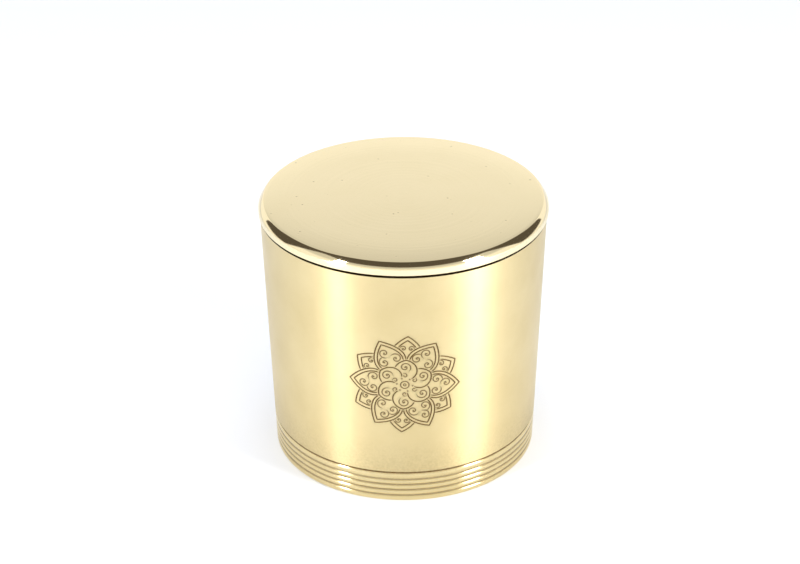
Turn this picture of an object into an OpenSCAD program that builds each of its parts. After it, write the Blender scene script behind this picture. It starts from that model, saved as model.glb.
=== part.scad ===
// Round brass spice box (masala dabba): a turned, slightly tapered box with a flush flat lid.
// Seven cups and a spoon stand on a lift-out tray in its upper half, over a deep compartment.
// Millimetres, +Z up. The origin is the centre of the foot, on the surface the box stands on.
// The front of the box faces -Y.

/* [Box] */
// Outside diameter at the mouth
mouth_d = 140; // [138:0.5:146]
// Outside diameter at the foot
base_d = 131; // [129:0.5:136]
// Height from the foot to the seam under the lid
body_h = 127; // [125:0.5:140]
// Thickness of the wall
wall = 2; // [1.8:0.1:2.3]

/* [Turned bands at the foot] */
// Height of the bold top groove
bold_groove_z = 16.4; // [15.4:0.1:20]
// Number of fine grooves below it
fine_grooves = 4; // [1:1:4]
// Distance from one fine groove to the next, and from the foot to the lowest
fine_pitch = 3.1; // [2.8:0.1:3.4]
// Width of the bold groove
groove_w = 1.1; // [0.8:0.1:1.4]
// Depth of the bold groove
groove_depth = 0.5; // [0.3:0.05:0.6]

/* [Lid] */
// Height of the lid above the seam
lid_h = 7; // [7:0.5:10]
// How far the lid's edge stands proud of the mouth
lid_overhang = 0.7; // [0:0.1:1.5]
// Thickness of the lid's plate
lid_plate = 2; // [2:0.1:2.5]
// Width of the lid's bevel, seen from above
bevel_w = 2.5; // [1.8:0.1:2.8]
// Height of the lid's bevel
bevel_h = 3.3; // [1.8:0.1:3.6]
// Half the angle through which the bevel is rounded
bevel_turn = 12; // [4:1:30]
// How far the polished top rolls off before the bevel
roll_drop = 0.2; // [0.1:0.1:0.8]
// How far the collar reaches below the seam
collar_depth = 12; // [8:1:13]
// Thickness of the collar
collar_t = 1.2; // [0.8:0.1:1.4]
// Clearance between the collar and the wall
collar_gap = 0.3; // [0.3:0.05:0.5]

/* [Tray] */
// Height of the tray's underside, on its ledge
tray_z = 58; // [50:1:60]
// Thickness of the tray's sheet
tray_t = 1.2; // [1:0.1:1.5]
// Outside diameter of the tray
tray_d = 129.6; // [129.6:0.1:130]
// Height of the tray's upturned rim
tray_rim_h = 6; // [4:0.5:8]

/* [Cups] */
// Outside diameter of a cup's rolled rim
cup_d = 42; // [41:0.1:42]
// Height of a cup
cup_h = 46; // [40:1:47]
// Thickness of a cup's sheet
cup_t = 0.9; // [0.7:0.1:1.2]
// Gap between neighbouring rims
cup_gap = 0.4; // [0.3:0.05:0.4]

/* [Spoon] */
// Diameter of the spoon's round bowl
bowl_d = 24; // [20:1:26]
// Depth of the bowl inside
bowl_depth = 6.5; // [5:0.5:7]
// Length of the handle beyond the bowl's rim
handle_l = 82; // [70:1:84]

/* [Hidden] */
$fn = 96;
profile_fn = 48;              // circles that round a turned profile
total_h = body_h + lid_h;
mouth_r = mouth_d / 2;
base_r = base_d / 2;
slope = (mouth_r - base_r) / body_h;
lip_w = 2.2;                  // inturned lip that carries the base plate
lip_h = 2;
plate_t = 2;
solder = 0.12;                // room for the solder round a plate or ring
edge = 0.6;                   // small bevels at the mouth and at the lid's edge
foot_bevel = 0.8;
ring_r = [16, 34, 52];        // turned rings under the base plate
ledge_w = 3.4;
ledge_h = 2;
tray_r = tray_d / 2;
tray_rim_t = 1;
tray_floor = tray_z + tray_t;
bead = 0.7;                   // pressed beads that keep the cups in place
bead_r = 18.8;
cup_pitch = cup_d + cup_gap;
cup_rim_r = 1;                // radius of the rolled rim's section
cup_top_r = cup_d / 2 - cup_rim_r;
cup_foot_r = cup_top_r - 1;   // the wall leans out by this much
cup_corner = 4;
cup_rim_z = tray_floor + cup_h;
lug_x = 61.2;                 // inner face of each lifting lug
lug_t = 1.4;
lug_w = 18;
lug_foot_w = 12;
lug_foot_l = 12;
lug_hole_r = 5;
lug_hole_z = cup_rim_z + 4.3;
rivet_r = 1.2;
rivet_head_r = 2;
rivet_x = [52.5, 58];
spoon_t = 1.2;
spoon_gap = 0.3;              // the spoon lies this far over the rims

// Radius of the outside and of the inside of the wall at a height
function outer_r(z) = base_r + slope * z;
function inner_r(z) = outer_r(z) - wall;

// Height of a groove, counted up from the foot, and its size: the last one is the bold one
function groove_z(i) = i < fine_grooves ? (i + 1) * fine_pitch : bold_groove_z;
function groove_share(i) = i < fine_grooves ? 0.75 : 1;

// Radius of the lid's top where its soft roll-off starts and where its bevel takes over
lid_r = mouth_r + lid_overhang;
roll_start = 0.68 * lid_r;
roll_end = lid_r - bevel_w;
roll_power = 2.6;
roll_steps = 12;
function roll_z(r) = total_h - roll_drop * pow((r - roll_start) / (roll_end - roll_start), roll_power);

// The bevel is a shallow arc from the top to the side. Its tilt is that of its chord, from the level.
bevel_tilt = atan(bevel_h / bevel_w);
bevel_r = norm([bevel_w, bevel_h]) / (2 * sin(bevel_turn));
bevel_steps = 6;
function tilted(r, tilt) = [r * sin(tilt), r * cos(tilt)];
function bevel_point(share) =
    [roll_end, total_h - roll_drop] - tilted(bevel_r, bevel_tilt - bevel_turn)
    + tilted(bevel_r, bevel_tilt + bevel_turn * (2 * share - 1));

// Where each cup stands: six round the centre one, which is the last
cup_places = [for (i = [0:5]) [cup_pitch * cos(60 * i + 30), cup_pitch * sin(60 * i + 30)], [0, 0]];

// Points of one V groove in the wall's outside, from its lower lip to its upper one
function groove_points(i) =
    let (z = groove_z(i), w = groove_w * groove_share(i), d = groove_depth * groove_share(i))
    [[outer_r(z - w / 2), z - w / 2], [outer_r(z) - d, z], [outer_r(z + w / 2), z + w / 2]];

// The tapered wall, with an inturned lip at the foot and turned grooves above it
module body_wall() {
    outside = concat(
        [[base_r - foot_bevel, 0], [outer_r(foot_bevel), foot_bevel]],
        [for (i = [0:fine_grooves]) each groove_points(i)],
        [[mouth_r - slope * edge, body_h - edge], [mouth_r - edge, body_h]]
    );
    inside = [
        [mouth_r - wall + edge, body_h], [inner_r(body_h - edge), body_h - edge],
        [inner_r(lip_h), lip_h], [inner_r(lip_h) - lip_w, lip_h], [inner_r(lip_h) - lip_w, 0]
    ];
    color("#e2c98a") rotate_extrude() polygon(concat(outside, inside));
}

// The flat base, dropped in from above onto the lip, with turned rings on its underside
module base_plate() {
    ring_w = 0.8;
    ring_depth = 0.3;
    color("#d9bf80") difference() {
        translate([0, 0, lip_h]) cylinder(r = inner_r(lip_h) - solder, h = plate_t);
        for (r = ring_r)
            rotate_extrude() polygon([
                [r - ring_w / 2, lip_h - 0.01], [r + ring_w / 2, lip_h - 0.01], [r, lip_h + ring_depth]
            ]);
    }
}

// The ring soldered inside the wall, on which the tray rests
module tray_ledge() {
    low = tray_z - ledge_h;
    ring_outer = inner_r(low) - solder;
    color("#d9bf80") translate([0, 0, low]) difference() {
        cylinder(r = ring_outer, h = ledge_h);
        translate([0, 0, -1]) cylinder(r = ring_outer - ledge_w, h = ledge_h + 2);
    }
}

// The shallow tray, with an upturned rim and a pressed bead round each cup's foot
module tray_plate() {
    corner = 1.5;
    color("#d9bf80") difference() {
        union() {
            rotate_extrude() polygon(concat(
                [[0, tray_z]],
                [for (a = [-90:15:0]) [tray_r - corner + corner * cos(a), tray_z + corner + corner * sin(a)]],
                [
                    [tray_r, tray_z + tray_rim_h - 0.3], [tray_r - 0.3, tray_z + tray_rim_h],
                    [tray_r - tray_rim_t + 0.3, tray_z + tray_rim_h],
                    [tray_r - tray_rim_t, tray_z + tray_rim_h - 0.3],
                    [tray_r - tray_rim_t, tray_floor + 0.5], [tray_r - tray_rim_t - 0.5, tray_floor],
                    [0, tray_floor]
                ]
            ));
            for (p = cup_places)
                translate([p[0], p[1], tray_floor]) rotate_extrude() intersection() {
                    translate([bead_r, 0]) circle(r = bead, $fn = profile_fn);
                    translate([bead_r - bead, -0.2]) square([2 * bead, bead + 0.2]);
                }
        }
        for (side = [-1, 1], x = rivet_x)
            translate([side * x, 0, tray_z - 1]) cylinder(r = rivet_r, h = tray_t + 2);
    }
}

// One upright lug with a finger hole and a foot along the tray. side is 1 for +X and -1 for -X.
module tray_lug(side) {
    round_z = lug_hole_z;
    mirror([side < 0 ? 1 : 0, 0, 0]) color("#d2b675") difference() {
        union() {
            translate([lug_x, 0, 0]) rotate([90, 0, 90]) linear_extrude(lug_t) difference() {
                union() {
                    translate([-lug_w / 2, tray_floor]) square([lug_w, round_z - tray_floor]);
                    translate([0, round_z]) circle(r = lug_w / 2);
                }
                translate([0, round_z]) circle(r = lug_hole_r);
            }
            translate([lug_x - lug_foot_l, -lug_foot_w / 2, tray_floor])
                cube([lug_foot_l + lug_t / 2, lug_foot_w, lug_t]);
        }
        for (x = rivet_x)
            translate([x, 0, tray_floor - 1]) cylinder(r = rivet_r, h = lug_t + 2);
    }
}

// Four rivets that hold the lugs' feet to the tray, domed above and flat below
module tray_rivets() {
    head_h = 1;
    tail_h = 0.7;
    color("#c9a960") for (side = [-1, 1], x = rivet_x)
        translate([side * x, 0, 0]) {
            translate([0, 0, tray_z - tail_h]) cylinder(r = rivet_head_r, h = tail_h);
            translate([0, 0, tray_z - tail_h / 2]) cylinder(r = rivet_r, h = tray_t + lug_t + tail_h);
            translate([0, 0, tray_floor + lug_t]) intersection() {
                translate([0, 0, head_h - 2.5]) sphere(r = 2.5);
                cylinder(r = rivet_head_r, h = head_h);
            }
        }
}

// Points of a cup's side on one face: its rounded corner and its leaning wall.
// inset is 0 on the outside and the sheet's thickness on the inside.
function cup_side(inset) =
    let (r = cup_corner - inset, x = cup_foot_r - cup_corner)
    concat(
        [[0, inset]],
        [for (a = [-90:15:0]) [x + r * cos(a), cup_corner + r * sin(a)]],
        [[cup_top_r - inset, cup_h - cup_rim_r]]
    );
function backwards(points) = [for (i = [len(points) - 1:-1:0]) points[i]];

// One spun cup with a rolled rim. place is its number in cup_places.
module cup(place) {
    p = cup_places[place];
    color("#dcc283") translate([p[0], p[1], tray_floor]) rotate_extrude() union() {
        polygon(concat(cup_side(0), backwards(cup_side(cup_t))));
        translate([cup_top_r, cup_h - cup_rim_r]) circle(r = cup_rim_r, $fn = profile_fn);
    }
}

// Radius of a sphere whose cap has this rim radius and depth
function cap_r(rim_r, depth) = (rim_r * rim_r + depth * depth) / (2 * depth);

// The spoon: a round bowl that dips into the front cup, and a flat handle that lies across the
// rims of the centre cup and the back one
module spoon() {
    top_z = cup_rim_z + spoon_gap + spoon_t;
    bowl_r = bowl_d / 2;
    inner_ball = cap_r(bowl_r, bowl_depth);
    ball_z = inner_ball - bowl_depth;
    neck_w = 5;
    end_w = 9;
    handle = bowl_r + handle_l;
    color("#dcc283") translate([0, -cup_pitch, top_z]) difference() {
        union() {
            intersection() {
                translate([0, 0, ball_z]) sphere(r = inner_ball + spoon_t);
                translate([0, 0, -bowl_depth - spoon_t - 1])
                    cylinder(r = bowl_r + spoon_t + 2, h = bowl_depth + spoon_t + 1);
            }
            translate([0, 0, -spoon_t]) linear_extrude(spoon_t) {
                polygon([
                    [-neck_w / 2, bowl_r - 2], [neck_w / 2, bowl_r - 2],
                    [end_w / 2, handle - end_w / 2], [-end_w / 2, handle - end_w / 2]
                ]);
                translate([0, handle - end_w / 2]) circle(r = end_w / 2);
            }
        }
        translate([0, 0, ball_z]) sphere(r = inner_ball);
    }
}

// The lid's cap: a plate with a soft roll-off, a bevelled shoulder and a short side
module lid_cap() {
    side_r = mouth_r - wall;
    color("#ecd8a4") rotate_extrude() polygon(concat(
        [[0, total_h - lid_plate], [0, total_h]],
        [for (i = [0:roll_steps]) let (r = roll_start + (roll_end - roll_start) * i / roll_steps) [r, roll_z(r)]],
        [for (i = [1:bevel_steps]) bevel_point(i / bevel_steps)],
        [
            [lid_r, body_h + edge], [lid_r - edge, body_h],
            [side_r, body_h], [side_r, total_h - lid_plate]
        ]
    ));
}

// The ring inside the lid that slides into the mouth, tapered like the wall
module lid_collar() {
    low = body_h - collar_depth;
    high = total_h - lid_plate;
    low_r = inner_r(low) - collar_gap;
    seam_r = inner_r(body_h) - collar_gap;
    color("#d9bf80") rotate_extrude() polygon([
        [low_r - collar_t, low], [low_r - edge, low], [low_r + slope * edge, low + edge],
        [seam_r, body_h], [seam_r, high], [seam_r - collar_t, high], [seam_r - collar_t, body_h]
    ]);
}

body_wall();
base_plate();
tray_ledge();
tray_plate();
tray_lug(-1);  // tray_lug_left
tray_lug(1);  // tray_lug_right
tray_rivets();
for (i = [0:5])
    cup(i);
cup(6);  // cup_centre
spoon();
lid_cap();
lid_collar();
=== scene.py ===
"""A round lidded brass spice box, with an engraved rosette and a tray of cups inside."""

import math

import bpy
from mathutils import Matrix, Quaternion, Vector, kdtree
from mathutils.geometry import delaunay_2d_cdt


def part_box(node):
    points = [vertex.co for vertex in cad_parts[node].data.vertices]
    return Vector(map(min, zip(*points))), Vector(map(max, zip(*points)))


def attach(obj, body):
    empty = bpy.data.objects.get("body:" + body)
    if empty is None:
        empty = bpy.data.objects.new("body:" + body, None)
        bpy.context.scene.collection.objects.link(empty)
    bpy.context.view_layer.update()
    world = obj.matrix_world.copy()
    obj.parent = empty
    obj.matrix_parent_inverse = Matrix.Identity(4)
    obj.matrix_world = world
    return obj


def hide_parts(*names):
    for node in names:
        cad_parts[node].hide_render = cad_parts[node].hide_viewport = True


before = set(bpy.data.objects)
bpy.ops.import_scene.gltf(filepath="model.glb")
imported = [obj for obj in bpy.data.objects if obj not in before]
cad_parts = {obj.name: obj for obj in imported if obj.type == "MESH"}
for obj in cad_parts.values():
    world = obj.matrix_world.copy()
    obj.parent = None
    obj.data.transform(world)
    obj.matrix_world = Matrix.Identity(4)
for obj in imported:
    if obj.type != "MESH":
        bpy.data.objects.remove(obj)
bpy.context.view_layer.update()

MM = 0.001

# ---------------------------------------------------------------- the box's sizes, in millimetres

wall_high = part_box("body_wall")[1]
lid_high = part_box("lid_cap")[1]
BODY_H = wall_high.z / MM
TOTAL_H = lid_high.z / MM
MOUTH_R = wall_high.x / MM
LID_R = lid_high.x / MM
FOOT_R = 65.5
WALL = 2.0
SLOPE = (MOUTH_R - FOOT_R) / BODY_H
LIP_W = 2.2
LIP_H = 2.0
FOOT_BEVEL = 0.8
EDGE = 0.6

# The grooves round the foot: one bold one above some fine ones, with crowned bands between them.
BOLD_GROOVE_Z = 16.4
FINE_GROOVES = 4
FINE_PITCH = 3.1
FINE_SHARE = 0.75
GROOVE_W = 1.1
GROOVE_DEPTH = 0.5
GROOVE_FLOOR = 0.15
GROOVE_POWER = 0.8
GROOVE_STEPS = 6
BAND_CROWN = 0.15
BAND_STEPS = 8
SHELF_H = 0.25
SHELF_CUTS = (0.2, 0.03)

# How dark a face is: 1 is full patina, and above 1 it turns black, which is painted shadow along the
# seam between the lid and the wall.
FINE_DARK = 0.62
SEAM_SHADOW = 2.0
SEAM_SHADOW_REACH = 1.05

# The lid: its top rolls off from ROLL_START outwards, down into a bevel that curves by BEVEL_TURN
# degrees each way.
LID_PLATE = 2.0
BEVEL_W = 2.5
BEVEL_H = 3.3
BEVEL_TURN = 12
BEVEL_ROUND = 0.3
ROLL_DROP = 0.2
ROLL_START = 0.68 * LID_R
ROLL_END = LID_R - BEVEL_W
ROLL_POWER = 2.6

# How finely turned shapes are cut up: columns round the axis, and steps along a small rounding.
COLUMNS = 288
COLUMN_ANGLE = 2 * math.pi / COLUMNS
EDGE_STEPS = 4
FINE_STEPS = 5
ROUND_STEPS = 8
FULL_CIRCLE = 360


def outer_r(z):
    """Radius of the wall's outside at a height."""
    return FOOT_R + SLOPE * z


def inner_r(z):
    """Radius of the wall's inside at a height."""
    return outer_r(z) - WALL


# ---------------------------------------------------------------- plane curves

def turned(points, angle):
    """Plane points turned about the origin."""
    c, s = math.cos(angle), math.sin(angle)
    return [(x * c - y * s, x * s + y * c) for x, y in points]


def bezier(p0, p1, p2, p3, steps):
    """Points along a cubic curve."""
    points = []
    for i in range(steps + 1):
        t = i / steps
        weights = ((1 - t) ** 3, 3 * t * (1 - t) ** 2, 3 * t * t * (1 - t), t ** 3)
        points.append(tuple(sum(w * p[k] for w, p in zip(weights, (p0, p1, p2, p3))) for k in (0, 1)))
    return points


def arc(x, y, r, start, end, steps):
    """Points along a circle, with its angles in degrees."""
    angles = [math.radians(start + (end - start) * i / steps) for i in range(steps + 1)]
    return [(x + r * math.cos(a), y + r * math.sin(a)) for a in angles]


def rounded(start, corner, end, steps):
    """Points along a curve from start to end that rounds off a corner."""
    pull = 0.6
    near = [tuple(a + (c - a) * pull for a, c in zip(side, corner)) for side in (start, end)]
    return bezier(start, near[0], near[1], end, steps)


def resampled(points, step):
    """The same line with points about one step apart, its corners kept."""
    line = [points[0]]
    for a, b in zip(points, points[1:]):
        count = max(1, round(math.dist(a, b) / step))
        for k in range(1, count + 1):
            line.append((a[0] + (b[0] - a[0]) * k / count, a[1] + (b[1] - a[1]) * k / count))
    return line


def inside(outline, x, y):
    """True if a point is inside a closed outline."""
    hit = False
    for (xa, ya), (xb, yb) in zip(outline, outline[1:] + outline[:1]):
        if (ya > y) != (yb > y) and x < (xb - xa) * (y - ya) / (yb - ya) + xa:
            hit = not hit
    return hit


def cut_outside(points, outlines, least=4):
    """The stretches of a line that lie outside all the outlines."""
    stretches, run = [], []
    for p in points:
        if any(inside(o, *p) for o in outlines):
            stretches.append(run)
            run = []
        else:
            run.append(p)
    stretches.append(run)
    return [s for s in stretches if len(s) >= least]


# ---------------------------------------------------------------- the rosette

ROSETTE_Z = 67.6
ROSETTE_TURN = math.radians(-3.5)
PETALS = 6
PETAL_STEPS = 16
EYE_RINGS = (0.6, 2)
EYE_STEPS = (10, 30)
CURVE_STEP = 0.42
OUTLINE_W = 0.62
SCROLL_W = 0.58
OUTLINE_DARK = 1.0
SCROLL_DARK = 0.85
DOT_W = 1.1
DOT_L = 1.0
ENGRAVING_DEPTH = 0.3
TAPER_STEPS = 3
SPIRAL_CORE = 0.32
SPIRAL_POWER = 0.9
SPIRAL_LEAST_STEPS = 14


def petal(base_r, tip_r, half_w, belly):
    """Outline of a pointed petal along +x, from its base round its tip and back. It swells from
    under half its width at the base, and belly says how far along it stays wide."""
    length = tip_r - base_r
    base = (base_r, 0.45 * half_w)
    swell = (base_r + 0.2 * length, 1.12 * half_w)
    shoulder = (base_r + belly * length, 1.1 * half_w)
    side = bezier(base, swell, shoulder, (tip_r, 0), PETAL_STEPS)
    return side + [(x, -y) for x, y in reversed(side[:-1])]


def scroll(x, y, r, start, turns, hand):
    """A spiral that winds in from its outer end. start is in degrees and hand is 1 or -1."""
    length = math.pi * turns * (r + SPIRAL_CORE)
    steps = max(SPIRAL_LEAST_STEPS, round(length / CURVE_STEP))
    points = []
    for i in range(steps + 1):
        t = i / steps
        a = math.radians(start) + hand * 2 * math.pi * turns * t
        radius = r + (SPIRAL_CORE - r) * t ** SPIRAL_POWER
        points.append((x + radius * math.cos(a), y + radius * math.sin(a)))
    return points


def dot(x, y):
    """A short fat line that reads as a punched dot."""
    steps = 2 * TAPER_STEPS
    return [(x + DOT_L * (i / steps - 0.5), y) for i in range(steps + 1)]


def rosette_lines():
    """All the engraved lines as (width, points), round the origin: six front petals, six back
    petals behind them, and a heart of six overlapping petals, each with its scrolls and dots."""
    pitch = 2 * math.pi / PETALS
    front = petal(base_r=9, tip_r=26.6, half_w=8.3, belly=0.6)
    front_inner = petal(base_r=9.6, tip_r=24.5, half_w=6.7, belly=0.6)
    back = petal(base_r=9, tip_r=26.9, half_w=8.7, belly=0.66)
    back_inner = petal(base_r=9, tip_r=24.7, half_w=7.1, belly=0.66)
    heart = petal(base_r=3.4, tip_r=13.8, half_w=5.9, belly=0.84)
    hearts = [turned(heart, (i + 0.5) * pitch) for i in range(PETALS)]
    fronts = [turned(front, i * pitch) for i in range(PETALS)]
    front_scrolls = [
        scroll(19.8, 0.8, r=2.85, start=-165, turns=1.35, hand=-1),
        scroll(15.1, 3.1, r=3.0, start=-25, turns=1.4, hand=1),
        scroll(15.0, -3.0, r=3.0, start=45, turns=1.35, hand=-1),
    ]
    back_scrolls = [scroll(20.2, side * 1.9, r=1.75, start=side * 115, turns=1.2, hand=-side)
                    for side in (-1, 1)]
    heart_scrolls = [
        scroll(9.8, 0.4, r=3.0, start=-150, turns=1.5, hand=1),
        scroll(5.2, 0.3, r=1.4, start=60, turns=1.1, hand=-1),
    ]
    front_dots = [(19.8, 0.8), (15.1, 3.1), (15.0, -3.0)]
    heart_dots = [(9.8, 0.4), (3.4, 1.6), (12.3, -3.2), (20.2, 1.9), (20.2, -1.9)]
    lines = []
    for i in range(PETALS):
        a = i * pitch
        half = a + pitch / 2
        for shape in (front, front_inner):
            outline = resampled(turned(shape, a), CURVE_STEP)
            lines += [(OUTLINE_W, s) for s in cut_outside(outline, hearts + [fronts[i - 1]])]
        for shape in (back, back_inner):
            outline = resampled(turned(shape, half), CURVE_STEP)
            lines += [(OUTLINE_W, s) for s in cut_outside(outline, hearts + fronts)]
        outline = resampled(turned(heart, half), CURVE_STEP)
        lines += [(OUTLINE_W, s) for s in cut_outside(outline, [hearts[(i + 1) % PETALS]])]
        lines += [(SCROLL_W, turned(s, a)) for s in front_scrolls]
        lines += [(SCROLL_W, turned(s, half)) for s in back_scrolls + heart_scrolls]
        lines += [(DOT_W, turned(dot(*p), a)) for p in front_dots]
        lines += [(DOT_W, turned(dot(*p), half)) for p in heart_dots]
    for r, steps in zip(EYE_RINGS, EYE_STEPS):
        lines.append((SCROLL_W, arc(0, 0, r, 0, FULL_CIRCLE, steps)))
    return [(width, turned(points, ROSETTE_TURN)) for width, points in lines]


# ---------------------------------------------------------------- meshes

# A length below this counts as none.
TINY = 1e-6


def new_piece(name, vertices, faces, marks=None, sharp=35):
    """A mesh piece, smooth except at edges sharper than an angle. marks holds attributes by name."""
    mesh = bpy.data.meshes.new(name)
    mesh.from_pydata([tuple(c * MM for c in v) for v in vertices], [], faces)
    mesh.update()
    for key, (domain, values) in (marks or {}).items():
        mesh.attributes.new(key, "FLOAT", domain).data.foreach_set("value", values)
    mesh.shade_smooth()
    mesh.set_sharp_from_angle(angle=math.radians(sharp))
    piece = bpy.data.objects.new(name, mesh)
    bpy.context.scene.collection.objects.link(piece)
    return piece


def spun(profile, columns=COLUMNS, centre=(0, 0)):
    """A closed profile of (r, z) turned round an upright axis: its vertices, its faces, and the
    profile row of each face. The profile runs up the outside, so that the faces point outwards.
    Points on the axis become one vertex."""
    vertices, rings = [], []
    for r, z in profile:
        if r < TINY:
            rings.append([len(vertices)] * columns)
            vertices.append((*centre, z))
            continue
        first = len(vertices)
        rings.append(list(range(first, first + columns)))
        for j in range(columns):
            a = 2 * math.pi * j / columns
            vertices.append((centre[0] + r * math.sin(a), centre[1] - r * math.cos(a), z))
    faces, rows = [], []
    for i in range(len(profile)):
        low, high = rings[i], rings[(i + 1) % len(rings)]
        for j in range(columns):
            k = (j + 1) % columns
            corners = [low[j], low[k], high[k], high[j]]
            face = [c for n, c in enumerate(corners) if c != corners[n - 1]]
            if len(face) > 2:
                faces.append(face)
                rows.append(i)
    return vertices, faces, rows


def groove_heights():
    """Each turned groove as (height, width, depth), from the foot up."""
    width, depth = GROOVE_W * FINE_SHARE, GROOVE_DEPTH * FINE_SHARE
    fine = [((i + 1) * FINE_PITCH, width, depth) for i in range(FINE_GROOVES)]
    return fine + [(BOLD_GROOVE_Z, GROOVE_W, GROOVE_DEPTH)]


def foot_profile():
    """The foot's part of the wall's profile, from the lip under it to just above the bold groove,
    as (r, z, dark), where dark is above 0 in a groove."""
    points = [(inner_r(0) - LIP_W, 0, 0), (FOOT_R - FOOT_BEVEL, 0, 0)]
    bevel = arc(FOOT_R - FOOT_BEVEL, FOOT_BEVEL, FOOT_BEVEL, -75, 0, FINE_STEPS)
    points += [(r, z, 0) for r, z in bevel]
    grooves = groove_heights()
    low = FOOT_BEVEL
    for i, (z, w, depth) in enumerate(grooves):
        high = z - w / 2
        crown = BAND_CROWN * (high - low)
        for k in range(0 if i else 1, BAND_STEPS + 1):
            t = k / BAND_STEPS
            sunk = crown * (2 * t - 1) ** 2
            height = low + (high - low) * t
            points.append((outer_r(height) - (sunk if i else sunk * t), height, 0))
        for k in range(1, GROOVE_STEPS):
            t = 2 * k / GROOVE_STEPS - 1
            cut = crown + max(GROOVE_FLOOR, depth - crown) * (1 - t * t) ** GROOVE_POWER
            points.append((outer_r(z) - cut, z + t * w / 2, 1 if z == BOLD_GROOVE_Z else FINE_DARK))
        low = z + w / 2
    for rise, cut in zip((0, SHELF_H), SHELF_CUTS):
        points.append((outer_r(low + rise) - cut, low + rise, 0))
    return points


# ---------------------------------------------------------------- the engraved wall

# The patch of the wall that the engraving is cut in runs PATCH_COLUMNS to each side of the front.
PATCH_COLUMNS = 21
PATCH_ROWS = 40
PATCH_HALF_H = 31
PATCH_LOW = ROSETTE_Z - PATCH_HALF_H
PATCH_HIGH = ROSETTE_Z + PATCH_HALF_H
ROW_H = (PATCH_HIGH - PATCH_LOW) / PATCH_ROWS
ROSETTE_R = outer_r(ROSETTE_Z)
COLUMN_W = COLUMN_ANGLE * ROSETTE_R
HALO_REACH = 0.45
HALO_OFFSET = 0.45
HALO_SLACK = 0.08
CLEAR_OF_LINES = 0.75
SAMPLES_A_STEP = 4
LEAST_HALF_W = 1e-3
CUT_POWER = 0.8
SAME_POINT = 1e-4


def strip_sides(width, points):
    """For each point of a line, its half width and the points at its left and right edge.
    An open line narrows to nothing at its ends."""
    closed = math.dist(points[0], points[-1]) < TINY
    last = len(points) - 1
    sides = []
    for i, (x, y) in enumerate(points):
        before = points[i - 1] if i else points[-2 if closed else 0]
        after = points[i + 1] if i < last else points[1 if closed else -1]
        dx, dy = after[0] - before[0], after[1] - before[1]
        length = math.hypot(dx, dy)
        half = width / 2
        if not closed:
            half *= min(1, min(i, last - i) / TAPER_STEPS)
        nx, ny = -dy / length * half, dx / length * half
        sides.append((half, (x + nx, y + ny), (x - nx, y - ny)))
    return sides


def line_tree(lines):
    """A tree of closely spaced points along all the lines, and each point's half width."""
    samples = []
    for width, points in lines:
        sides = strip_sides(width, points)
        for i in range(len(points) - 1):
            for k in range(SAMPLES_A_STEP):
                t = k / SAMPLES_A_STEP
                x, y = (points[i][c] + (points[i + 1][c] - points[i][c]) * t for c in (0, 1))
                samples.append((x, y, sides[i][0] + (sides[i + 1][0] - sides[i][0]) * t))
    tree = kdtree.KDTree(len(samples))
    for n, (x, y, half) in enumerate(samples):
        tree.insert((x, y, 0), n)
    tree.balance()
    return tree, [half for _, _, half in samples]


def engraving(border):
    """The rosette as a flat triangulation inside a closed border of plane points.
    Returns its points with their depth and halo, which border point each one is, its triangles,
    and how dark each triangle is. Each line becomes a strip of cells to the left and right of it,
    and more points a little way outside the strips carry the halo round them."""
    lines = rosette_lines()
    tree, halves = line_tree(lines)

    def depth_and_halo(x, y):
        _, n, distance = tree.find((x, y, 0))
        half = max(halves[n], LEAST_HALF_W)
        deepest = ENGRAVING_DEPTH * min(1, 2 * half / SCROLL_W)
        depth = deepest * max(0, 1 - distance / half) ** CUT_POWER
        return depth, math.exp(-max(0, distance - half) / HALO_REACH)

    points = list(border)
    edges = [(i, (i + 1) % len(border)) for i in range(len(border))]
    cells, darks = [], []
    loose = []
    for width, line in lines:
        dark = OUTLINE_DARK if width == OUTLINE_W else SCROLL_DARK
        sides = strip_sides(width, line)
        first = len(points)
        for centre, (half, left, right) in zip(line, sides):
            points += [centre, left, right]
            if half > 0:
                reach = (half + HALO_OFFSET) / half
                for side in (left, right):
                    loose.append(tuple(c + (s - c) * reach for c, s in zip(centre, side)))
        for i in range(len(line) - 1):
            a, b = first + 3 * i, first + 3 * i + 3
            starts, ends = sides[i][0] > 0, sides[i + 1][0] > 0
            left = [a, b] + ([b + 1] if ends else []) + ([a + 1] if starts else [])
            right = ([a + 2] if starts else []) + ([b + 2] if ends else []) + [b, a]
            new_cells = [c for c in (left, right) if len(c) > 2]
            cells += new_cells
            darks += [dark] * len(new_cells)
    grid = [(i * COLUMN_W, PATCH_LOW - ROSETTE_Z + (PATCH_HIGH - PATCH_LOW) * k / PATCH_ROWS)
            for i in range(1 - PATCH_COLUMNS, PATCH_COLUMNS) for k in range(1, PATCH_ROWS)]
    points += [p for p in grid if tree.find((*p, 0))[2] > CLEAR_OF_LINES]
    nearest = OUTLINE_W / 2 + HALO_OFFSET - HALO_SLACK
    points += [p for p in loose if tree.find((*p, 0))[2] > nearest]
    result = delaunay_2d_cdt([Vector(p) for p in points], edges, cells, 0, SAME_POINT, True)
    flat, _, triangles, sources, _, covers = result
    owner = [next((s for s in group if s < len(border)), None) for group in sources]
    shaped = [(p.x, p.y, *depth_and_halo(p.x, p.y)) for p in flat]
    return shaped, owner, triangles, [max((darks[k] for k in c), default=0.0) for c in covers]


def wall_halo(z):
    """How near a height on the wall is to one of the turned grooves, from 0 to 1."""
    return max(math.exp(-max(0, abs(z - g) - w / 2) / HALO_REACH) for g, w, _ in groove_heights())


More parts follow.
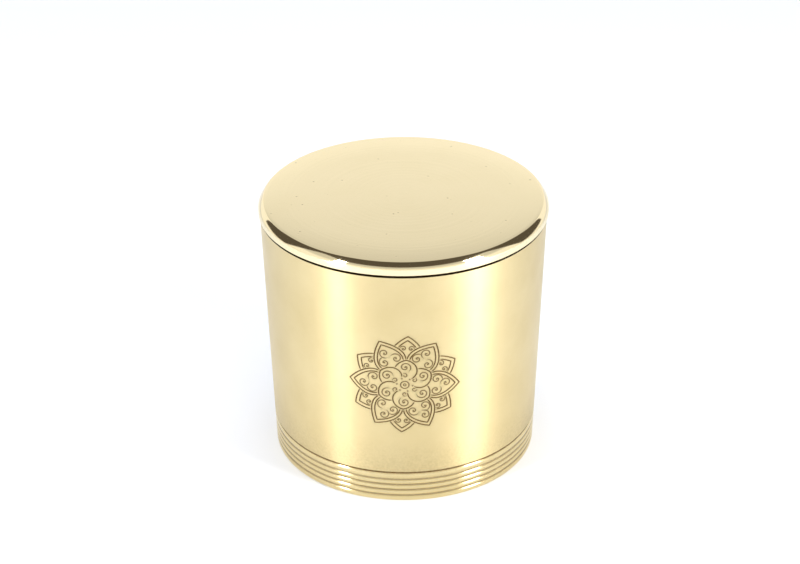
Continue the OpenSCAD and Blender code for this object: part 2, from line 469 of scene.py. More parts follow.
def make_wall():
    """The turned wall, with the rosette cut into its front. The faces of the plain cone that the
    engraving's patch replaces are left out, and so are the vertices that only they used."""
    lower = foot_profile()
    patch_rows = [(outer_r(z), z, 0) for z in (PATCH_LOW + ROW_H * k for k in range(PATCH_ROWS + 1))]
    mouth = arc(MOUTH_R - SLOPE * EDGE - EDGE, BODY_H - EDGE, EDGE, 0, 90, EDGE_STEPS)
    rim = arc(MOUTH_R - WALL + EDGE, BODY_H - EDGE, EDGE, 90, 180, EDGE_STEPS)
    foot = inner_r(LIP_H)
    inner = [(foot, LIP_H), (foot - LIP_W, LIP_H)]
    # Along the top of the wall, just under the lid's edge, the faces carry painted shadow for the
    # seam.
    seam_low = BODY_H - SEAM_SHADOW_REACH
    seam = [(outer_r(seam_low), seam_low, 0)]
    seam += [(r, z, SEAM_SHADOW) for r, z in mouth[:-1]]
    seam.append((*mouth[-1], 0))
    profile = lower + patch_rows + seam + [(r, z, 0) for r, z in rim + inner]
    vertices, faces, rows = spun([(r, z) for r, z, _ in profile])
    first = len(lower)
    middle = WALL / 2
    halo = [wall_halo(z) if math.hypot(x, y) > inner_r(z) + middle else 0 for x, y, z in vertices]

    def ring_vertex(row, column):
        return (first + row) * COLUMNS + column % COLUMNS

    kept, patina_and_shadow = [], []
    for face, row in zip(faces, rows):
        column = face[0] % COLUMNS
        near = min(column, COLUMNS - 1 - column)
        if first <= row < first + PATCH_ROWS and near < PATCH_COLUMNS:
            continue
        kept.append(face)
        patina_and_shadow.append(max(profile[row][2], profile[(row + 1) % len(profile)][2]))
    sweep, climb = range(-PATCH_COLUMNS, PATCH_COLUMNS), range(PATCH_ROWS)
    border = [(0, c) for c in sweep] + [(r, PATCH_COLUMNS) for r in climb]
    border += [(PATCH_ROWS, -c) for c in sweep] + [(PATCH_ROWS - r, -PATCH_COLUMNS) for r in climb]
    plane = [(c * COLUMN_W, PATCH_LOW + ROW_H * r - ROSETTE_Z) for r, c in border]
    shaped, owner, triangles, darkness = engraving(plane)
    index = []
    for (x, y, depth, near), source in zip(shaped, owner):
        if source is not None:
            index.append(ring_vertex(*border[source]))
            continue
        a, z = x / ROSETTE_R, y + ROSETTE_Z
        r = outer_r(z) - depth
        index.append(len(vertices))
        vertices.append((r * math.sin(a), -r * math.cos(a), z))
        halo.append(near)
    kept += [[index[v] for v in t] for t in triangles]
    patina_and_shadow += darkness
    used = sorted({v for face in kept for v in face})
    new_index = {v: i for i, v in enumerate(used)}
    vertices, halo = [vertices[v] for v in used], [halo[v] for v in used]
    kept = [[new_index[v] for v in face] for face in kept]
    marks = {"patina_and_shadow": ("FACE", patina_and_shadow), "halo": ("POINT", halo)}
    wall = new_piece("wall_turned", vertices, kept, marks)
    smooth_cone(wall, patina_and_shadow)
    return wall


def smooth_cone(wall, patina_and_shadow):
    """Gives the plain part of the wall the normals of a true cone, so that it reflects smoothly."""
    mesh = wall.data
    normals = [Vector(n.vector) for n in mesh.corner_normals]
    tilt = math.atan(SLOPE)
    off_cone = 0.05
    for face in mesh.polygons:
        r = math.hypot(face.center.x, face.center.y) / MM
        z = face.center.z / MM
        plain = BOLD_GROOVE_Z + 1 < z < BODY_H - EDGE and abs(r - outer_r(z)) < off_cone
        if patina_and_shadow[face.index] or not plain:
            continue
        for k in face.loop_indices:
            co = mesh.vertices[mesh.loops[k].vertex_index].co
            a = math.atan2(co.x, -co.y)
            outward = (math.sin(a) * math.cos(tilt), -math.cos(a) * math.cos(tilt), -math.sin(tilt))
            normals[k] = Vector(outward)
    mesh.normals_split_custom_set(normals)


# ---------------------------------------------------------------- the lid

LID_RINGS = 48
BEVEL_STEPS = 12
SIDE_R = MOUTH_R - WALL


def make_lid():
    """The lid's cap: a flat top that rolls off softly into a bevel and a short side."""
    top_z = TOTAL_H - ROLL_DROP
    tilt = math.degrees(math.atan(BEVEL_H / BEVEL_W))
    bevel_r = math.hypot(BEVEL_W, BEVEL_H) / (2 * math.sin(math.radians(BEVEL_TURN)))
    start, end = 90 - tilt - BEVEL_TURN, 90 - tilt + BEVEL_TURN
    x = ROLL_END - bevel_r * math.cos(math.radians(end))
    z = top_z - bevel_r * math.sin(math.radians(end))
    bevel = arc(x, z, bevel_r, start, end, BEVEL_STEPS)
    low = [(SIDE_R, BODY_H), *arc(LID_R - EDGE, BODY_H + EDGE, EDGE, -90, 0, EDGE_STEPS)]
    lower_corner = rounded((LID_R, bevel[0][1] - BEVEL_ROUND), bevel[0], bevel[1], FINE_STEPS)
    upper_corner = rounded(bevel[-2], bevel[-1], (ROLL_END - BEVEL_ROUND, top_z), FINE_STEPS)
    shoulder = lower_corner + bevel[2:-2] + upper_corner
    top_r = ROLL_END - BEVEL_ROUND
    top = []
    for i in range(1, LID_RINGS + 1):
        r = top_r * (1 - i / LID_RINGS)
        t = max(0, (r - ROLL_START) / (ROLL_END - ROLL_START))
        top.append((r, TOTAL_H - ROLL_DROP * t ** ROLL_POWER))
    under = [(0, TOTAL_H - LID_PLATE), (SIDE_R, TOTAL_H - LID_PLATE)]
    vertices, faces, rows = spun(low + shoulder + top + under)
    # The lid's lower edge carries the same painted seam shadow.
    patina_and_shadow = [SEAM_SHADOW if row < len(low) - 1 else 0.0 for row in rows]
    return new_piece("lid_turned", vertices, faces, {"patina_and_shadow": ("FACE", patina_and_shadow)})


# ---------------------------------------------------------------- the tray, the cups and the spoon

# The tray is a plate with an upturned rim, and a bead pressed up round each cup's foot.
TRAY_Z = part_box("tray_plate")[0].z / MM
TRAY_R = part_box("tray_plate")[1].x / MM
TRAY_T = 1.2
TRAY_RIM_H = 6.0
TRAY_RIM_T = 1.0
TRAY_FLOOR = TRAY_Z + TRAY_T
TRAY_CORNER = 1.5
TRAY_FILLET = 0.6
BEAD = 0.7
BEAD_R = 18.8
BEAD_FOOT = 1.2 * BEAD
BEAD_SUNK = 0.1

# Seven cups, six of them round one in the centre. CUP_LINES are the heights of their turned lines.
CUP_D = 42.0
CUP_H = 46.0
CUP_T = 0.9
CUP_CORNER = 4.0
CUP_ROLL = 1.0
CUP_TAPER = 1
CUP_GAP = 0.4
CUP_LINES = (33, 35, 37)
CUP_TOP_R = CUP_D / 2 - CUP_ROLL
CUP_FOOT_R = CUP_TOP_R - CUP_TAPER
CUP_PITCH = CUP_D + CUP_GAP
CUP_COLUMNS = 96
CUP_CORNER_STEPS = 10
CUP_ROLL_STEPS = 18
OUTER_CUPS = 6
CUP_TURNS = [math.radians(60 * i + 30) for i in range(OUTER_CUPS)]
CUP_PLACES = {f"cup_{i + 1}": turned([(CUP_PITCH, 0)], a)[0] for i, a in enumerate(CUP_TURNS)}
CUP_PLACES["cup_centre"] = (0, 0)
CUP_RIM_Z = TRAY_FLOOR + CUP_H

# A lug stands at each side of the tray, and two rivets hold its foot.
LUG_X = 61.2
LUG_T = 1.4
LUG_W = 18.0
LUG_HOLE_R = 5.0
LUG_HOLE_RISE = 4.3
LUG_HOLE_Z = CUP_RIM_Z + LUG_HOLE_RISE
LUG_FOOT_W = 12.0
LUG_FOOT_L = 12.0
LUG_FOOT_CORNER = 1.5
LUG_STEP = 1.5
LUG_ARC_STEPS = 30
EDGE_ROUND = 0.2
RIVET_HEAD_R = 2.0
RIVET_HEAD_H = 1.0
RIVET_TAIL_H = 0.7
RIVET_CHAMFER = 0.15
RIVET_R = 1.2
RIVET_COLUMNS = 32
RIVET_X = (52.5, 58.0)

# The spoon lies on the cups, with its bowl in the mouth of the front one.
SPOON_T = 1.2
SPOON_GAP = 0.3
SPOON_TOP = CUP_RIM_Z + SPOON_GAP + SPOON_T
BOWL_R = 12.0
BOWL_DEPTH = 6.5
BOWL_STEPS = 14
HANDLE_START = BOWL_R + 0.4
NECK_END = BOWL_R + 6
HANDLE_END = BOWL_R + 82.0
NECK_W = 5.0
HANDLE_W = 9.0
HANDLE_STEP = 2.5
HANDLE_ARC_STEPS = 16


def joined(parts):
    """Several (vertices, faces) as one."""
    vertices, faces = [], []
    for more, cells in parts:
        first = len(vertices)
        vertices += more
        faces += [[first + v for v in face] for face in cells]
    return vertices, faces


def make_cup(name):
    """A spun cup with a rolled rim, a rounded corner and three turned lines near its mouth."""
    x = CUP_FOOT_R - CUP_CORNER
    roll_foot = CUP_H - 2 * CUP_ROLL
    side_low, side_high = (CUP_FOOT_R, CUP_CORNER), (CUP_TOP_R, roll_foot)
    outside = [(0, 0), (x / 2, 0)] + arc(x, CUP_CORNER, CUP_CORNER, -90, 0, CUP_CORNER_STEPS)
    outside += turned_lines(side_low, side_high, CUP_LINES) + [side_high]
    roll = arc(CUP_TOP_R, CUP_H - CUP_ROLL, CUP_ROLL, -60, 235, CUP_ROLL_STEPS)
    within = [(CUP_TOP_R - CUP_T, roll_foot)]
    within += arc(x, CUP_CORNER, CUP_CORNER - CUP_T, 0, -90, CUP_CORNER_STEPS)
    profile = outside + roll + within + [(x / 2, CUP_T), (0, CUP_T)]
    raised = [(r, z + TRAY_FLOOR) for r, z in profile]
    vertices, faces, _ = spun(raised, CUP_COLUMNS, CUP_PLACES[name])
    return new_piece(name + "_turned", vertices, faces)


def turned_lines(low, high, heights, depth=0.12, half=0.3):
    """Points of fine V lines cut in a leaning side at some heights."""
    points = []
    for z in heights:
        for dz, cut in ((-half, 0), (0, depth), (half, 0)):
            share = (z + dz - low[1]) / (high[1] - low[1])
            points.append((low[0] + (high[0] - low[0]) * share - cut, z + dz))
    return points


def make_tray():
    """The shallow tray, with an upturned rim and a pressed bead round each cup's foot."""
    rim = TRAY_Z + TRAY_RIM_H
    half = TRAY_RIM_T / 2
    within = TRAY_R - TRAY_RIM_T - TRAY_FILLET
    profile = [(0, TRAY_Z)]
    profile += arc(TRAY_R - TRAY_CORNER, TRAY_Z + TRAY_CORNER, TRAY_CORNER, -90, 0, ROUND_STEPS)
    profile += arc(TRAY_R - half, rim - half, half, 0, 180, ROUND_STEPS)
    profile += arc(within, TRAY_FLOOR + TRAY_FILLET, TRAY_FILLET, 0, -90, FINE_STEPS)
    profile.append((0, TRAY_FLOOR))
    parts = [spun(profile)[:2]]
    ring = [(BEAD_R + BEAD_FOOT, TRAY_FLOOR - BEAD_SUNK)]
    ring += arc(BEAD_R, TRAY_FLOOR, BEAD, 0, 180, ROUND_STEPS)
    ring.append((BEAD_R - BEAD_FOOT, TRAY_FLOOR - BEAD_SUNK))
    parts += [spun(ring, CUP_COLUMNS, place)[:2] for place in CUP_PLACES.values()]
    return new_piece("tray_turned", *joined(parts))


def slab(outline, hole, low, high, round_off):
    """A plate with a closed plane outline, and a hole of as many points or none, with rounded edges.
    Its vertices are (u, v, w), where w runs from low to high."""
    bend = round_off * 0.3
    layers = [(low, round_off), (low + bend, bend), (low + round_off, 0),
              (high - round_off, 0), (high - bend, bend), (high, round_off)]
    count = len(outline)
    lines = [(outline, -1)] + ([(hole, 1)] if hole else [])
    vertices = []
    for w, inset in layers:
        for line, sign in lines:
            mid_u, mid_v = (sum(p[k] for p in line) / count for k in (0, 1))
            for u, v in line:
                pull = 1 + sign * inset / math.dist((u, v), (mid_u, mid_v))
                vertices.append((mid_u + (u - mid_u) * pull, mid_v + (v - mid_v) * pull, w))
    faces = []
    last = len(layers) - 1
    stride = count * len(lines)
    for j in range(count):
        k = (j + 1) % count
        for i in range(last):
            a, b = i * stride, (i + 1) * stride
            faces.append([a + j, a + k, b + k, b + j])
            if hole:
                faces.append([a + count + k, a + count + j, b + count + j, b + count + k])
        if hole:
            top = last * stride
            faces.append([j, count + j, count + k, k])
            faces.append([top + k, top + count + k, top + count + j, top + j])
    if not hole:
        faces.append(list(reversed(range(count))))
        faces.append(list(range(last * stride, last * stride + count)))
    return vertices, faces


def rounded_box(low, high, corner):
    """Closed plane outline of a rectangle with round corners."""
    corners = [(high[0], high[1], 0), (low[0], high[1], 90),
               (low[0], low[1], 180), (high[0], low[1], 270)]
    points = []
    for x, y, start in corners:
        dx = -corner if x == high[0] else corner
        dy = -corner if y == high[1] else corner
        points += arc(x + dx, y + dy, corner, start, start + 90, FINE_STEPS)
    return points


def make_lug(name, side):
    """A lifting lug: an upright plate with a finger hole, on a foot along the tray.
    side is 1 for +X and -1 for -X."""
    half = LUG_W / 2
    top = arc(0, LUG_HOLE_Z, half, 0, 180, LUG_ARC_STEPS)
    sides = [(half, TRAY_FLOOR), *top, (-half, TRAY_FLOOR), (half, TRAY_FLOOR)]
    outline = resampled(sides, LUG_STEP)[:-1]
    turns = [math.atan2(v - LUG_HOLE_Z, u) for u, v in outline]
    hole = [(LUG_HOLE_R * math.cos(a), LUG_HOLE_Z + LUG_HOLE_R * math.sin(a)) for a in turns]
    plate, plate_faces = slab(outline, hole, LUG_X, LUG_X + LUG_T, EDGE_ROUND)
    upright = [(side * w, side * u, v) for u, v, w in plate]
    foot_low, foot_high = (LUG_X - LUG_FOOT_L, -LUG_FOOT_W / 2), (LUG_X + LUG_T / 2, LUG_FOOT_W / 2)
    foot_line = rounded_box(foot_low, foot_high, LUG_FOOT_CORNER)
    foot, foot_faces = slab(foot_line, None, TRAY_FLOOR, TRAY_FLOOR + LUG_T, EDGE_ROUND)
    flat = [(side * u, side * v, w) for u, v, w in foot]
    return new_piece(name, *joined([(upright, plate_faces), (flat, foot_faces)]))


def make_rivets():
    """Four rivets that hold the lugs' feet to the tray, domed above and flat below."""
    low, seat = TRAY_Z - RIVET_TAIL_H, TRAY_FLOOR + LUG_T
    dome = (RIVET_HEAD_R ** 2 + RIVET_HEAD_H ** 2) / (2 * RIVET_HEAD_H)
    start = math.degrees(math.acos(RIVET_HEAD_R / dome))
    profile = [(0, low), (RIVET_HEAD_R - RIVET_CHAMFER, low)]
    profile += [(RIVET_HEAD_R, low + RIVET_CHAMFER), (RIVET_HEAD_R, TRAY_Z)]
    profile += [(RIVET_R, TRAY_Z), (RIVET_R, seat)]
    profile += arc(0, seat + RIVET_HEAD_H - dome, dome, start, 90, ROUND_STEPS)[:-1]
    profile.append((0, seat + RIVET_HEAD_H))
    parts = [spun(profile, RIVET_COLUMNS, (side * x, 0))[:2] for side in (-1, 1) for x in RIVET_X]
    return new_piece("rivets_turned", *joined(parts))


def make_spoon():
    """The spoon: a round bowl with a soft lip, and a flat handle that widens to a round end."""
    inner = (BOWL_R ** 2 + BOWL_DEPTH ** 2) / (2 * BOWL_DEPTH)
    ball_z = SPOON_TOP + inner - BOWL_DEPTH
    outer = inner + SPOON_T
    lip_z = SPOON_TOP - SPOON_T / 2
    reach, start = (math.degrees(math.asin((lip_z - ball_z) / r)) for r in (outer, inner))
    outside = arc(0, ball_z, outer, -90, reach, BOWL_STEPS)
    lip_r = (outside[-1][0] + BOWL_R) / 2
    lip = arc(lip_r, lip_z, outside[-1][0] - lip_r, 0, 180, ROUND_STEPS)[1:]
    within = arc(0, ball_z, inner, start, -90, BOWL_STEPS)
    profile = [(0, outside[0][1])] + outside[1:] + lip + within[:-1] + [(0, within[-1][1])]
    front = -CUP_PITCH
    end = HANDLE_END - HANDLE_W / 2
    edge = [(NECK_W / 2, HANDLE_START), (NECK_W / 2, NECK_END), (HANDLE_W / 2, end)]
    tip = arc(0, end, HANDLE_W / 2, 0, 180, HANDLE_ARC_STEPS)[1:]
    line = edge + tip + [(-x, y) for x, y in reversed(edge[:-1])]
    line.append(line[0])
    outline = [(x, y + front) for x, y in resampled(line, HANDLE_STEP)[:-1]]
    handle = slab(outline, None, SPOON_TOP - SPOON_T, SPOON_TOP, EDGE_ROUND)
    bowl = spun(profile, CUP_COLUMNS, (0, front))[:2]
    return new_piece("spoon_turned", *joined([bowl, handle]))


# ---------------------------------------------------------------- materials

PATINA = (0.105, 0.052, 0.012, 1)
BLACK = (0, 0, 0, 1)
WHITE = (1, 1, 1, 1)

# Texture scales are per metre, and bump heights are in metres.
CLOUD_SCALE = 38.0
SMEAR_SCALE = 9.0
FINE_RING_SCALE = 5200.0
BROAD_RING_SCALE = 420.0
FINE_RING_BUMP = 0.0000045
BROAD_RING_BUMP = 0.00002
PIT_SCALE = 260.0
PIT_CLUSTER_SCALE = 150.0
PIT_BUMP = 0.00004
GRIME_SCALE = 900.0

# How much the textures change the colour and the roughness, from their low values to their high.
CLOUD_ROUGHNESS = (0.86, 1.16)
RING_ROUGHNESS = (-0.025, 0.035)
RING_COVER = 0.22
HALO_COVER = (0.05, 0.32)
PATINA_COVER = (1.0, 0.8)
PATINA_ROUGHNESS = 0.3
PATINA_METAL = 0.3
# How far the painted seam shadow goes towards black.
SEAM_SHADOW_COVER = 0.9

ANISOTROPY = 0.75
ANISOTROPY_TURN = 0.25
POLISH_BLEND = 0.3


class Graph:
    """The nodes of a material or of the world, added and joined by short calls. A value that goes
    into a node is either a number or another node's output."""

    def __init__(self, name="", tree=None):
        """A new material by name, or else a tree that is there already, emptied."""
        if tree:
            self.tree = tree
            self.tree.nodes.clear()
            return
        self.material = bpy.data.materials.new(name)
        self.material.use_nodes = True
        self.tree = self.material.node_tree
        self.tree.nodes.clear()
        self.shader = self.add("BsdfPrincipled")
        output = self.add("OutputMaterial")
        self.join(self.shader.outputs["BSDF"], output.inputs["Surface"])

    def add(self, kind, **settings):
        """A new shader node of a kind."""
        node = self.tree.nodes.new("ShaderNode" + kind)
        for key, value in settings.items():
            setattr(node, key, value)
        return node

    def join(self, source, target):
        """Puts an output or a number into an input."""
        if hasattr(source, "is_output"):
            self.tree.links.new(source, target)
        else:
            target.default_value = source

    def math(self, operation, a, b=0.0, clamp=False):
        """One sum on two values."""
        node = self.add("Math", operation=operation, use_clamp=clamp)
        self.join(a, node.inputs[0])
        self.join(b, node.inputs[1])
        return node.outputs[0]

    def vector(self, operation, a, b):
        """One sum on two vectors."""
        node = self.add("VectorMath", operation=operation)
        self.join(a, node.inputs[0])
        self.join(b, node.inputs[1])
        return node.outputs[0]

    def mix(self, share, a, b):
        """A colour between a, at a share of 0, and b, at 1."""
        node = self.add("Mix", data_type="RGBA")
        self.join(share, node.inputs["Factor"])
        self.join(a, node.inputs[6])
        self.join(b, node.inputs[7])
        return node.outputs[2]

    def mix_value(self, share, a, b):
        """A number between a, at a share of 0, and b, at 1."""
        node = self.add("Mix", data_type="FLOAT")
        self.join(share, node.inputs["Factor"])
        self.join(a, node.inputs[2])
        self.join(b, node.inputs[3])
        return node.outputs[0]

    def noise(self, coordinates, scale, detail=3.0, rough=0.5):
        """Soft random clouds, mostly between 0.25 and 0.75."""
        node = self.add("TexNoise")
        self.join(coordinates, node.inputs["Vector"])
        node.inputs["Scale"].default_value = scale
        node.inputs["Detail"].default_value = detail
        node.inputs["Roughness"].default_value = rough
        return node.outputs["Fac"]

    def bands(self, position, scale, detail=4.0):
        """Random stripes across one direction."""
        node = self.add("TexNoise", noise_dimensions="1D")
        self.join(self.math("MULTIPLY", position, scale), node.inputs["W"])
        node.inputs["Scale"].default_value = 1.0
        node.inputs["Detail"].default_value = detail
        return node.outputs["Fac"]

    def spread(self, value, low, high, to_low=0.0, to_high=1.0):
        """A value stretched so that low becomes to_low and high becomes to_high, and held there."""
        node = self.add("MapRange")
        self.join(value, node.inputs["Value"])
        keys = ("From Min", "From Max", "To Min", "To Max")
        for key, number in zip(keys, (low, high, to_low, to_high)):
            node.inputs[key].default_value = number
        return node.outputs["Result"]

    def bump(self, height, distance, strength=1.0, normal=None):
        """A surface direction bent by a height, on top of another bump or none."""
        node = self.add("Bump")
        node.inputs["Distance"].default_value = distance
        node.inputs["Strength"].default_value = strength
        self.join(height, node.inputs["Height"])
        if normal:
            self.join(normal, node.inputs["Normal"])
        return node.outputs["Normal"]


def brass(name, pale, deep, roughness, lathe=0.6, pits=0.0, engraved=False, polish=None, size=None):
    """Brass with soft clouds between a pale and a deep (red, green, blue).
    lathe is how strong the turned rings round the Z axis are, and pits how dark the specks are.
    engraved reads how dark each face is from the mesh's patina_and_shadow and halo attributes: patina
    in the grooves, grime round them, and painted shadow along the lid's seam.
    polish is (height in mm, factor) and changes the roughness below that height, over
    POLISH_BLEND to each side of it.
    With a size in metres, the rings run round the piece's own middle."""
    pale, deep = (*pale, 1), (*deep, 1)
    g = Graph(name)
    texture = g.add("TexCoord")
    place = texture.outputs["Object"]
    split = g.add("SeparateXYZ")
    around = place
    if size:
        around = g.vector("SUBTRACT", texture.outputs["Generated"], (0.5, 0.5, 0))
        around = g.vector("MULTIPLY", around, size)
    g.join(around, split.inputs[0])
    x, y, z = split.outputs
    radius = g.math("SQRT", g.math("ADD", g.math("MULTIPLY", x, x), g.math("MULTIPLY", y, y)))
    along = g.math("ADD", radius, z)
    clouds = g.noise(place, CLOUD_SCALE, 4.0, 0.6)
    smears = g.noise(place, SMEAR_SCALE, 2.0)
    fine_rings = g.bands(along, FINE_RING_SCALE)
    broad_rings = g.bands(along, BROAD_RING_SCALE, 2.0)
    colour = g.mix(g.spread(clouds, 0.3, 0.72), pale, deep)
    colour = g.mix(g.spread(fine_rings, 0.3, 0.75, 0.0, RING_COVER * lathe), colour, deep)
    cloudy = [roughness * factor for factor in CLOUD_ROUGHNESS]
    ringed = [lathe * change for change in RING_ROUGHNESS]
    rough = g.spread(g.math("ADD", clouds, smears), 0.6, 1.4, *cloudy)
    rough = g.math("ADD", rough, g.spread(fine_rings, 0.2, 0.8, *ringed))
    normal = g.bump(broad_rings, BROAD_RING_BUMP * lathe)
    normal = g.bump(fine_rings, FINE_RING_BUMP * lathe, 1.0, normal)
    if pits:
        specks = g.add("TexVoronoi", feature="F1")
        g.join(place, specks.inputs["Vector"])
        specks.inputs["Scale"].default_value = PIT_SCALE
        pit = g.spread(specks.outputs["Distance"], 0.05, 0.16, 1.0, 0.0)
        chosen = g.spread(g.noise(place, PIT_CLUSTER_SCALE, 1.0), 0.6, 0.66)
        pit = g.math("MULTIPLY", pit, chosen)
        colour = g.mix(g.math("MULTIPLY", pit, pits), colour, PATINA)
        normal = g.bump(g.math("MULTIPLY", pit, -1.0), PIT_BUMP, 1.0, normal)
    if engraved:
        patina_and_shadow = g.add("Attribute", attribute_name="patina_and_shadow").outputs["Fac"]
        halo = g.add("Attribute", attribute_name="halo").outputs["Fac"]
        grime = g.noise(place, GRIME_SCALE, 3.0)
        soft = g.math("MULTIPLY", halo, g.spread(grime, 0.3, 0.7, *HALO_COVER))
        full = g.math("MULTIPLY", patina_and_shadow, g.spread(grime, 0.25, 0.7, *PATINA_COVER))
        dark = g.math("MAXIMUM", soft, full)
        colour = g.mix(dark, colour, PATINA)
        # Above full patina the colour goes towards black: painted shadow along the lid's seam.
        colour = g.mix(g.spread(patina_and_shadow, 1.0, SEAM_SHADOW, 0.0, SEAM_SHADOW_COVER), colour, BLACK)
        rough = g.math("ADD", rough, g.math("MULTIPLY", dark, PATINA_ROUGHNESS), clamp=True)
        g.join(g.spread(dark, 0.5, 1.0, 1.0, PATINA_METAL), g.shader.inputs["Metallic"])
    if polish:
        height, factor = polish
        low, high = (height - POLISH_BLEND) * MM, (height + POLISH_BLEND) * MM
        rough = g.math("MULTIPLY", rough, g.spread(z, low, high, factor, 1.0))
    g.join(colour, g.shader.inputs["Base Color"])
    g.join(rough, g.shader.inputs["Roughness"])
    g.join(normal, g.shader.inputs["Normal"])
    g.shader.inputs["Metallic"].default_value = 1.0
    g.shader.inputs["Specular IOR Level"].default_value = 0.0
    if lathe:
        g.shader.inputs["Anisotropic"].default_value = ANISOTROPY
        g.shader.inputs["Anisotropic Rotation"].default_value = ANISOTROPY_TURN
        tangent = g.add("Tangent", direction_type="RADIAL", axis="Z")
        g.join(tangent.outputs["Tangent"], g.shader.inputs["Tangent"])
    return g.material


def coat(piece, material):
    """Gives a piece one material."""
    piece.data.materials.clear()
    piece.data.materials.append(material)


# The foot's bands are polished brighter than the wall, and the lid's side is duller than its bevel.
wall_brass = brass("wall_brass", (0.765, 0.63, 0.345), (0.715, 0.58, 0.302), roughness=0.37,
                   lathe=1.0, engraved=True, polish=(BOLD_GROOVE_Z, 0.37))
lid_brass = brass("lid_brass", (0.955, 0.82, 0.52), (0.94, 0.805, 0.50), roughness=0.08,
                  lathe=0.35, pits=0.5, engraved=True, polish=(TOTAL_H - BEVEL_H + 0.1, 3.2))
sheet_brass = brass("sheet_brass", (0.84, 0.68, 0.38), (0.78, 0.61, 0.32), roughness=0.30)
plain_brass = brass("plain_brass", (0.84, 0.68, 0.38), (0.78, 0.61, 0.32), roughness=0.26, lathe=0.0)
cup_size = (CUP_D * MM, CUP_D * MM, CUP_H * MM)
cup_brass = brass("cup_brass", (0.88, 0.73, 0.43), (0.83, 0.67, 0.36), roughness=0.22,
                  lathe=0.8, size=cup_size)
spoon_brass = brass("spoon_brass", (0.90, 0.75, 0.45), (0.85, 0.69, 0.38), roughness=0.16, lathe=0.0)
rivet_brass = brass("rivet_brass", (0.80, 0.60, 0.30), (0.70, 0.50, 0.23), roughness=0.28, lathe=0.0)


def place_piece(piece, material, body, node):
    """Gives a new piece its material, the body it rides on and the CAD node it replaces."""
    coat(piece, material)
    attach(piece, body)
    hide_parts(node)


place_piece(make_wall(), wall_brass, "box", "body_wall")
place_piece(make_lid(), lid_brass, "lid", "lid_cap")
place_piece(make_tray(), sheet_brass, "tray", "tray_plate")
place_piece(make_lug("lug_left", -1), plain_brass, "tray", "tray_lug_left")
place_piece(make_lug("lug_right", 1), plain_brass, "tray", "tray_lug_right")
place_piece(make_rivets(), rivet_brass, "tray", "tray_rivets")
place_piece(make_spoon(), spoon_brass, "spoon_body", "spoon")
for node in CUP_PLACES:
    body = "centre_cup" if node == "cup_centre" else node.replace("cup_", "outer_cup_")
    place_piece(make_cup(node), cup_brass, body, node)
for node in ("base_plate", "tray_ledge", "lid_collar"):
    coat(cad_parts[node], sheet_brass)


# ---------------------------------------------------------------- floor, light and camera

FLOOR_HALF = 3000
FLOOR_DEEP = (0.86, 0.89, 0.95, 1)
FLOOR_PALE = (0.88, 0.91, 0.97, 1)


def make_floor():
    """A wide pale floor under the box."""
    mesh = bpy.data.meshes.new("floor")
    half = FLOOR_HALF * MM
    signs = [(-1, -1), (1, -1), (1, 1), (-1, 1)]
    mesh.from_pydata([(x * half, y * half, 0) for x, y in signs], [], [(0, 1, 2, 3)])
    floor = bpy.data.objects.new("floor", mesh)
    bpy.context.scene.collection.objects.link(floor)
    g = Graph("pale_floor")
    place = g.add("TexCoord").outputs["Object"]
    colour = g.mix(g.noise(place, 3.0, 2.0), FLOOR_DEEP, FLOOR_PALE)
    g.join(colour, g.shader.inputs["Base Color"])
    g.shader.inputs["Roughness"].default_value = 0.55
    g.shader.inputs["Specular IOR Level"].default_value = 0.3
    coat(floor, g.material)


def softbox(name, azimuth, elevation, distance, width, height, power, colour=(1, 1, 1)):
    """An area light that faces the box. Azimuth 0 is in front and 90 to the right, in degrees.
    Lengths are in metres and the power is in watts."""
    light = bpy.data.lights.new(name, "AREA")
    light.shape = "RECTANGLE"
    light.size, light.size_y = width, height
    light.energy = power
    light.color = colour
    lamp = bpy.data.objects.new(name, light)
    a, e = math.radians(azimuth), math.radians(elevation)
    aim = Vector((0, 0, TOTAL_H / 2 * MM))
    back = Vector((math.sin(a) * math.cos(e), -math.cos(a) * math.cos(e), math.sin(e)))
    lamp.location = aim + back * distance
    lamp.rotation_mode = "QUATERNION"
    lamp.rotation_quaternion = back.to_track_quat("Z", "Y")
    bpy.context.scene.collection.objects.link(lamp)
    return lamp


def overhead_light(name, strength, spread):
    """A soft light from straight above, the same all over the floor and unseen in the brass.
    The spread is the angle it fills, in degrees."""
    light = bpy.data.lights.new(name, "SUN")
    light.energy = strength
    light.angle = math.radians(spread)
    lamp = bpy.data.objects.new(name, light)
    lamp.visible_glossy = False
    bpy.context.scene.collection.objects.link(lamp)


# The studio round the box, by direction: x, y and z are parts of a unit vector. The white ends at
# BACKDROP_TOP in front, and at the sides at SIDE_TOP less SIDE_FALL times y, or at SIDE_LEAST.
BACKDROP_TOP = 0.62
SIDE_START, SIDE_FULL = 0.66, 0.76
SIDE_TOP, SIDE_FALL, SIDE_LEAST = 0.43, 1.8, 0.12
UPPER_START, UPPER_FULL, UPPER_SHARE = 0.41, 0.50, 0.66
BEHIND_START, BEHIND_FULL = 0.05, 0.15
BEHIND_EDGE, BEHIND_CORE = 0.55, 0.45
OVERHEAD_START, OVERHEAD_FULL = 0.94, 0.98
CEILING_BLEND = 0.03
BRIGHT = 1.05
DIM = 0.1
DIM_TINT = (1.0, 0.86, 0.72, 1)
FILL_TINT = (0.85, 0.95, 1.2)


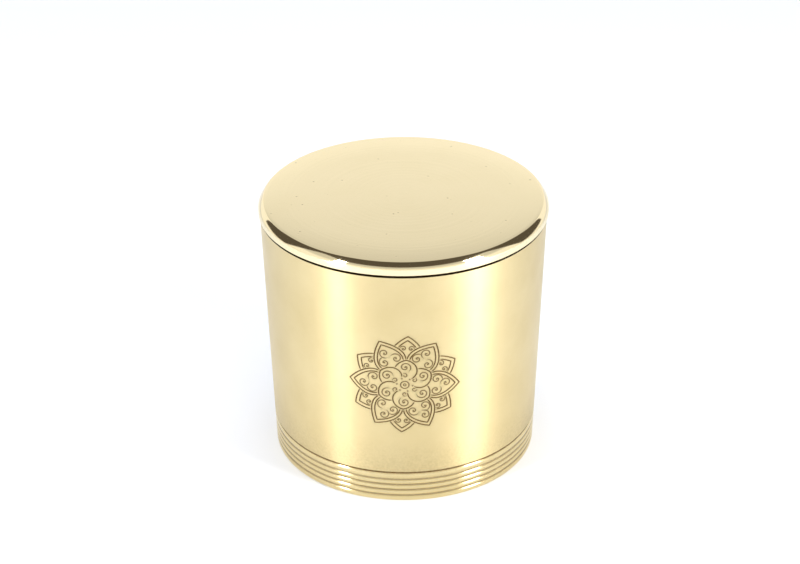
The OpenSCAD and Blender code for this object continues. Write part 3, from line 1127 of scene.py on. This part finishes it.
def make_world():
    """A white studio with a dim ceiling over its front and its sides. The white reaches high in
    front, at the two sides its top slants down towards the back, and behind the box and straight
    overhead it has no end. Its upper part is a little less bright."""
    world = bpy.data.worlds.new("studio")
    world.use_nodes = True
    g = Graph(tree=world.node_tree)
    split = g.add("SeparateXYZ")
    g.join(g.add("TexCoord").outputs["Generated"], split.inputs[0])
    x, y, z = split.outputs
    aside = g.math("ABSOLUTE", x)
    side = g.spread(aside, SIDE_START, SIDE_FULL)
    side_top = g.math("SUBTRACT", SIDE_TOP, g.math("MULTIPLY", y, SIDE_FALL))
    side_top = g.math("MAXIMUM", side_top, SIDE_LEAST)
    lowered = g.math("MULTIPLY", side, g.math("SUBTRACT", side_top, BACKDROP_TOP))
    above = g.math("SUBTRACT", z, g.math("ADD", lowered, BACKDROP_TOP))
    share = g.spread(z, UPPER_START, UPPER_FULL, 1.0, UPPER_SHARE)
    level = g.math("MULTIPLY", share, BRIGHT)
    to_back = g.spread(y, BEHIND_START, BEHIND_FULL)
    behind = g.math("MULTIPLY", to_back, g.spread(aside, BEHIND_EDGE, BEHIND_CORE))
    overhead = g.spread(z, OVERHEAD_START, OVERHEAD_FULL)
    closed = g.math("SUBTRACT", 1.0, g.math("MAXIMUM", behind, overhead))
    ceiling = g.math("MULTIPLY", g.spread(above, -CEILING_BLEND, 0.0), closed)
    tint = g.mix(ceiling, WHITE, DIM_TINT)
    strength = g.mix_value(ceiling, level, DIM)
    background = g.add("Background")
    g.join(tint, background.inputs["Color"])
    g.join(strength, background.inputs["Strength"])
    g.join(background.outputs[0], g.add("OutputWorld").inputs["Surface"])
    bpy.context.scene.world = world


# The camera's distance and aim are in millimetres, and the nearest thing it sees in metres.
CAMERA_DISTANCE = 1071
CAMERA_ELEVATION = math.radians(28.6)
CAMERA_ROLL = math.radians(-0.37)
CAMERA_AIM = Vector((-1.95, 0, 86))
CAMERA_LENS = 97.1
CAMERA_SENSOR = 36
CAMERA_NEAREST = 0.05


def make_camera():
    """The camera, in front of the box and well above it."""
    back = Vector((0, -math.cos(CAMERA_ELEVATION), math.sin(CAMERA_ELEVATION)))
    data = bpy.data.cameras.new("camera")
    data.sensor_width = CAMERA_SENSOR
    data.lens = CAMERA_LENS
    data.clip_start = CAMERA_NEAREST
    camera = bpy.data.objects.new("camera", data)
    camera.location = CAMERA_AIM * MM + back * CAMERA_DISTANCE * MM
    camera.rotation_mode = "QUATERNION"
    camera.rotation_quaternion = back.to_track_quat("Z", "Y") @ Quaternion((0, 0, 1), CAMERA_ROLL)
    bpy.context.scene.collection.objects.link(camera)
    bpy.context.scene.camera = camera


make_floor()
make_world()

# The two tall softboxes show in the brass as upright highlights. The other lights don't show in
# it: they light the floor, whose reflection fills the brass between the highlights.
softbox("left_softbox", -50, 16, distance=1.2, width=0.13, height=0.9, power=8)
softbox("right_softbox", 55.5, 16, distance=1.2, width=0.26, height=0.9, power=12)
overhead_light("floor_light", strength=1.22, spread=60)
floor_lights = [
    softbox("front_light", 0, 28, distance=1.6, width=1.4, height=0.6, power=3.5),
    softbox("left_fill", -110, 50, distance=1.0, width=0.5, height=0.5, power=1.1, colour=FILL_TINT),
    softbox("right_fill", 110, 50, distance=1.0, width=0.5, height=0.5, power=0.4, colour=FILL_TINT),
]
for lamp in floor_lights:
    lamp.visible_glossy = False
make_camera()
bpy.context.scene.view_settings.view_transform = "Standard"
